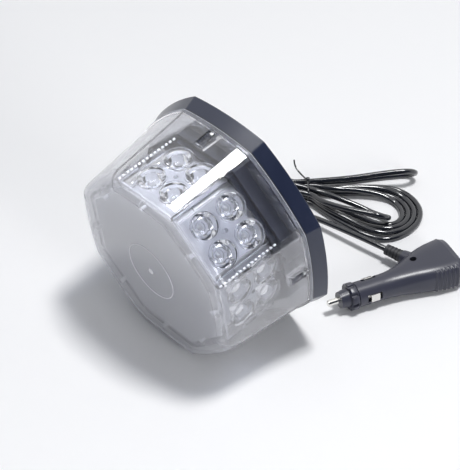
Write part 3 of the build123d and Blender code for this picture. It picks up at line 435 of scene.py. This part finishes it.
def gripRing(build, distance, share):
    # one loop of the ribbed grip; the flat top and the wing stay plain
    first, second = gripRows[:2] if distance < gripRows[1][0] else gripRows[1:]
    blend = (distance - first[0]) / (second[0] - first[0])
    left, right, top, bottom, square = [
        one + (other - one) * blend for one, other in zip(first[1:], second[1:])]
    made = bmesh.ops.create_circle(build, segments=gripSettings["sides"], radius=left)
    wave = 0.5 - 0.5 * cos(2 * pi * gripSettings["ribs"] * share)
    for index, vertex in enumerate(made["verts"]):
        angle = 2 * pi * index / gripSettings["sides"]
        across, rise = cos(angle), sin(angle)
        onSide = fadeIn(gripSettings["wingFade"] - across, gripSettings["wingFade"])
        onSide *= fadeIn(gripSettings["topEnd"] - rise, gripSettings["topFade"])
        onSide *= fadeIn(rise + gripSettings["bottomEnd"], gripSettings["bottomFade"])
        proud = (gripSettings["proud"] + gripSettings["depth"] * wave) * onSide
        proud -= gripSettings["sunk"] * (1 - onSide)
        y = ((left if across > 0 else right) + proud) * copysign(abs(across) ** (2 / square), across)
        z = ((top if rise > 0 else bottom) + proud) * copysign(abs(rise) ** (2 / square), rise)
        vertex.co = (distance, y, z)
    return ringEdges(made)


gripBuild = bmesh.new()
gripLoops = []
for step in range(gripSettings["steps"] + 1):
    share = step / gripSettings["steps"]
    distance = gripSettings["start"] + share * (gripSettings["end"] - gripSettings["start"])
    gripLoops.append(gripRing(gripBuild, distance, share))
bridgeAll(gripBuild, gripLoops)
bmesh.ops.contextual_create(gripBuild, geom=gripLoops[0])
bmesh.ops.contextual_create(gripBuild, geom=gripLoops[-1])
makePiece("finger_grip", gripBuild, plugMatrix, "plugBlack", sharpFrom=gripSettings["sharp"])
print("plug trim made")

# one vinyl lead: out of the base, wound into a tied hank, and on to the plug
cordSettings = {
    "diameter": 0.0048, "length": 2.9, "layers": (0.0024, 0.0066, 0.0108), "turns": 4,
    "roundness": 8, "smoothness": 14,
}
tieSettings = {"x": -0.048, "y": 0.167, "turn": radians(48)}
floorHeight, secondLayer, thirdLayer = cordSettings["layers"]

# the lead from the base, the hank's widest and narrowest turns, two odd loops, and the lead to the plug
tailRoute = [
    (-0.07226, 0.04796, 0.01956), (-0.0809, 0.0492, 0.0110), (-0.0895, 0.0504, 0.0042),
    (-0.1000, 0.0555, 0.0024), (-0.1120, 0.0620, 0.0024), (-0.1230, 0.0730, 0.0024),
    (-0.1310, 0.0860, 0.0024), (-0.1380, 0.1010, 0.0024), (-0.1420, 0.1180, 0.0024),
    (-0.1350, 0.1360, 0.0024), (-0.1170, 0.1455, 0.0024), (-0.0960, 0.1495, 0.0024),
    (-0.0700, 0.1590, 0.0024),
]
outerLoop = [
    (-0.033, 0.193), (-0.017, 0.215), (-0.001, 0.2275), (0.016, 0.229), (0.032, 0.2225),
    (0.0415, 0.2095), (0.044, 0.194), (0.0415, 0.1795), (0.035, 0.170), (0.023, 0.165), (0.005, 0.1625),
    (-0.018, 0.160),
]
innerLoop = [
    (-0.032, 0.180), (-0.018, 0.1965), (-0.003, 0.2095), (0.011, 0.214), (0.023, 0.2095),
    (0.030, 0.200), (0.0285, 0.1895), (0.020, 0.1825), (0.008, 0.178), (-0.006, 0.1735),
    (-0.020, 0.1685), (-0.031, 0.165),
]
# how far a strand has come down from the tie, and then how far it has still to climb back
loopRise = [0.0, 0.25, 0.6, 1.0, 1.0, 1.0]
loopFall = [1.0, 1.0, 0.7, 0.4, 0.0, 0.0]
smallLoop = [
    (-0.034, 0.169, 0.0120), (-0.018, 0.177, 0.0095), (-0.0040, 0.1842, 0.0062),
    (0.0065, 0.1884, 0.0036), (0.0170, 0.1926, 0.0030), (0.0242, 0.1913, 0.0069),
    (0.0270, 0.1858, 0.0123), (0.0238, 0.1792, 0.0162), (0.0155, 0.1748, 0.0160),
    (0.004, 0.1696, 0.0150), (-0.008, 0.1650, 0.0138), (-0.024, 0.1608, 0.0118),
]
farLoop = [
    (-0.0511, 0.1703, 0.0125), (-0.0420, 0.1816, 0.0130), (-0.0286, 0.1982, 0.0140),
    (-0.0155, 0.2170, 0.0158), (-0.0055, 0.2305, 0.0170), (0.0016, 0.2389, 0.0174),
    (0.0028, 0.2462, 0.0130), (-0.0009, 0.2503, 0.0068), (-0.0073, 0.2487, 0.0025),
    (-0.0128, 0.2415, 0.0024), (-0.0225, 0.2270, 0.0024), (-0.0355, 0.2061, 0.0024),
    (-0.0469, 0.1908, 0.0024),
]
leadRoute = [
    (-0.068, 0.160, 0.0090), (-0.090, 0.149, 0.0150), (-0.110, 0.1415, 0.0150), (-0.130, 0.138, 0.0150),
    (-0.1385, 0.122, 0.0150), (-0.136, 0.104, 0.0140), (-0.118, 0.0955, 0.0115),
    (-0.094, 0.1015, 0.0080), (-0.070, 0.117, 0.0060), (-0.046, 0.1345, 0.0056),
    (-0.020, 0.1448, 0.0076), (0.010, 0.1494, 0.0102), (0.0378, 0.15366, 0.01205),
    (0.05354, 0.15649, 0.01205),
]
# where each strand passes the tie: how far across it, and how high
tieOut = [(0.0072, floorHeight), (0.0048, secondLayer), (0.0024, floorHeight), (0.0024, thirdLayer)]
tieBack = [(-0.0072, floorHeight), (-0.0048, secondLayer), (-0.0024, floorHeight), (0.0, secondLayer)]
tieSmall = [(-0.0024, thirdLayer), (-0.0072, thirdLayer)]
tieLead = (0.0115, 0.0040)
# the far fold's points: where each one starts, and how it moves as the fold gets larger
foldSteps = [
    (-0.071, 0.1470, 0.0, -0.9), (-0.095, 0.1215, 0.0, -0.86), (-0.113, 0.1185, 0.0, -1.04),
    (-0.117, 0.1185, -0.76, -0.95), (-0.117, 0.1185, -1.16, -0.1), (-0.117, 0.1185, -0.84, 0.9),
    (-0.111, 0.1185, 0.0, 1.12), (-0.095, 0.1245, 0.0, 0.9), (-0.070, 0.1395, 0.0, 0.75),
]
foldSizes = [(0.0190, floorHeight), (0.0166, secondLayer), (0.0142, floorHeight), (0.0190, thirdLayer),
             (0.0142, thirdLayer)]


def atTie(across, height):
    turn = tieSettings["turn"]
    return (tieSettings["x"] - across * sin(turn), tieSettings["y"] + across * cos(turn), height)


def foldRound(size, height):
    # the hank's far fold, from its near side round to its other side
    return [(startX + growX * size, startY + growY * size, height)
            for startX, startY, growX, growY in foldSteps]


cordRoute = list(tailRoute)
for turnNumber in range(cordSettings["turns"]):
    share = turnNumber / (cordSettings["turns"] - 1)
    outHeight = tieOut[turnNumber][1]
    backHeight = tieBack[turnNumber][1]
    heights = [outHeight + (floorHeight - outHeight) * part for part in loopRise]
    heights += [backHeight + (floorHeight - backHeight) * part for part in loopFall]
    cordRoute.append(atTie(*tieOut[turnNumber]))
    for wide, narrow, height in zip(outerLoop, innerLoop, heights):
        x = wide[0] * (1 - share) + narrow[0] * share
        y = wide[1] * (1 - share) + narrow[1] * share
        cordRoute.append((x, y, height))
    cordRoute.append(atTie(*tieBack[turnNumber]))
    cordRoute += foldRound(*foldSizes[turnNumber])
cordRoute.append(atTie(*tieSmall[0]))
cordRoute += smallLoop
cordRoute.append(atTie(*tieSmall[1]))
cordRoute += foldRound(*foldSizes[-1])
cordRoute += farLoop
cordRoute.append(atTie(*tieLead))
cordRoute += leadRoute

cordCurve = bpy.data.curves.new("power_cord", "CURVE")
cordCurve.dimensions = "3D"
cordCurve.bevel_depth = cordSettings["diameter"] / 2
cordCurve.bevel_resolution = cordSettings["roundness"]
cordCurve.resolution_u = cordSettings["smoothness"]
cordCurve.use_fill_caps = True
cordLine = cordCurve.splines.new("NURBS")
cordLine.points.add(len(cordRoute) - 1)
for point, place in zip(cordLine.points, cordRoute):
    point.co = (*place, 1.0)
cordLine.order_u = 3
cordLine.use_endpoint_u = True
powerCord = bpy.data.objects.new("power_cord", cordCurve)
scene.collection.objects.link(powerCord)
cordCurve.materials.append(finishes["cordVinyl"])
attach(powerCord, "beacon")
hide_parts("cord_tail", "cord_hank", "cord_lead")
print("cord laid:", len(cordRoute), "points")

# the tie's two ends, wound around each other into a short, flat twist
knotSettings = {
    "across": 0.003, "height": 0.0150, "rise": 0.0042, "sunk": 0.35, "turns": 2.5,
    "coil": 0.0014, "coilFoot": 1.15, "coilTaper": 0.45, "coilFlat": 0.8,
    "wire": 0.0009, "wireTaper": 0.3, "lean": radians(62), "steps": 40, "sides": 10,
}
tieTurn = Matrix.Rotation(tieSettings["turn"], 4, "Z")
tieMatrix = Matrix.Translation((tieSettings["x"], tieSettings["y"], 0)) @ tieTurn
knotBuild = bmesh.new()
for startAngle in (0, pi):
    loops = []
    for step in range(knotSettings["steps"] + 1):
        share = step / knotSettings["steps"]
        angle = startAngle + 2 * pi * knotSettings["turns"] * share
        wide = knotSettings["coil"] * (knotSettings["coilFoot"] - knotSettings["coilTaper"] * share)
        wire = knotSettings["wire"] * (1 - knotSettings["wireTaper"] * share)
        ring = bmesh.ops.create_circle(knotBuild, cap_ends=step in (0, knotSettings["steps"]),
                                       segments=knotSettings["sides"], radius=wire)
        leaning = Matrix.Rotation(knotSettings["lean"], 3, (cos(angle), sin(angle), 0))
        bmesh.ops.rotate(knotBuild, verts=ring["verts"], matrix=leaning)
        bmesh.ops.translate(knotBuild, verts=ring["verts"], vec=(
            wide * cos(angle), knotSettings["across"] + wide * sin(angle) * knotSettings["coilFlat"],
            knotSettings["height"] + knotSettings["rise"] * (share - knotSettings["sunk"])))
        loops.append(ringEdges(ring))
    bridgeAll(knotBuild, loops)
makePiece("tie_knot", knotBuild, tieMatrix, "cordVinyl")

# a wide, plain, pale floor
floorSettings = {
    "reach": 6.0, "cells": 8, "specular": 0.2,
    "look": {"colour": (0.93, 0.93, 0.945), "colourTwo": (0.94, 0.94, 0.95), "rough": (0.5, 0.6)},
}
floorBuild = bmesh.new()
bmesh.ops.create_grid(floorBuild, x_segments=floorSettings["cells"], y_segments=floorSettings["cells"],
                      size=floorSettings["reach"])
floorMesh = bpy.data.meshes.new("studio_floor")
floorBuild.to_mesh(floorMesh)
floorBuild.free()
studioFloor = bpy.data.objects.new("studio_floor", floorMesh)
scene.collection.objects.link(studioFloor)
floorFinish = makeFinish("floorWhite", floorSettings["look"])
floorShader = floorFinish.node_tree.nodes["Principled BSDF"]
floorShader.inputs["Specular IOR Level"].default_value = floorSettings["specular"]
floorMesh.materials.append(floorFinish)

# a pale room that is dark beyond the front right, and so is what shines back from there
roomSettings = {
    "colour": (0.93, 0.96, 1.0, 1.0), "strength": 0.35,
    "white": (1.0, 1.0, 1.0, 1.0), "whiteStrength": 1.0,
    "dark": (0.6, 0.7, 1.0, 1.0), "darkStrength": 0.05,
    "darkTowards": (0.77, -0.34, 0.55), "darkFrom": 0.62, "darkTo": 0.88,
}
world = bpy.data.worlds.new("studioWorld")
scene.world = world
world.use_nodes = True
worldTree = world.node_tree


def setBackground(light, colour, strength):
    light.inputs["Color"].default_value = colour
    light.inputs["Strength"].default_value = strength
    return light.outputs[0]


paleLight = setBackground(worldTree.nodes["Background"], roomSettings["colour"], roomSettings["strength"])
whiteLight = setBackground(worldTree.nodes.new("ShaderNodeBackground"), roomSettings["white"],
                           roomSettings["whiteStrength"])
darkLight = setBackground(worldTree.nodes.new("ShaderNodeBackground"), roomSettings["dark"],
                          roomSettings["darkStrength"])
worldCoords = worldTree.nodes.new("ShaderNodeTexCoord")
facing = worldTree.nodes.new("ShaderNodeVectorMath")
facing.operation = "DOT_PRODUCT"
facing.inputs[1].default_value = roomSettings["darkTowards"]
worldTree.links.new(worldCoords.outputs["Generated"], facing.inputs[0])
darkRange = addRange(worldTree, facing.outputs["Value"], roomSettings["darkFrom"], roomSettings["darkTo"],
                     0.0, 1.0)
darkRange.interpolation_type = "SMOOTHSTEP"
# white shows to the camera, in shine and through clear plastic; the room's own level lights the rest
worldPath = worldTree.nodes.new("ShaderNodeLightPath").outputs
shineOrClear = addMath(worldTree, "MAXIMUM", worldPath["Is Glossy Ray"], worldPath["Is Transmission Ray"])
seenWhite = addMath(worldTree, "MAXIMUM", worldPath["Is Camera Ray"], shineOrClear.outputs["Value"])
paleRoom = addMix(worldTree, seenWhite.outputs["Value"], paleLight, whiteLight)
darkShare = addMath(worldTree, "SUBTRACT", darkRange.outputs["Result"], worldPath["Is Camera Ray"])
darkShare.use_clamp = True
wholeRoom = addMix(worldTree, darkShare.outputs["Value"], paleRoom, darkLight)
worldTree.links.new(wholeRoom, worldTree.nodes["World Output"].inputs["Surface"])

# an overhead key, a long strip over the beacon and a fill from the right
lampSettings = [
    {"name": "keyLamp", "place": (0.36, 0.39, 2.4), "tilt": (-9.0, 9.0, 0.0),
     "size": (0.42, 0.42), "watts": 40.0, "plain": True, "shine": True},
    {"name": "overheadStrip", "place": (-0.335, 0.06, 1.15), "tilt": (0.0, -17.0, -6.0),
     "size": (0.125, 0.50), "watts": 5.2, "plain": False, "shine": True},
    {"name": "rightFill", "place": (1.6, -0.15, 0.70), "tilt": (0.0, 68.0, 0.0),
     "size": (0.5, 0.5), "watts": 8.0, "plain": True, "shine": False},
]
for lamp in lampSettings:
    lampData = bpy.data.lights.new(lamp["name"], "AREA")
    lampData.shape = "RECTANGLE"
    lampData.size, lampData.size_y = lamp["size"]
    lampData.energy = lamp["watts"]
    lampObject = bpy.data.objects.new(lamp["name"], lampData)
    lampObject.location = lamp["place"]
    lampObject.rotation_euler = [radians(turn) for turn in lamp["tilt"]]
    # the strip only shines back from glossy surfaces, and the fill never does
    lampObject.visible_diffuse = lamp["plain"]
    lampObject.visible_glossy = lamp["shine"]
    scene.collection.objects.link(lampObject)
print("floor and lamps placed")
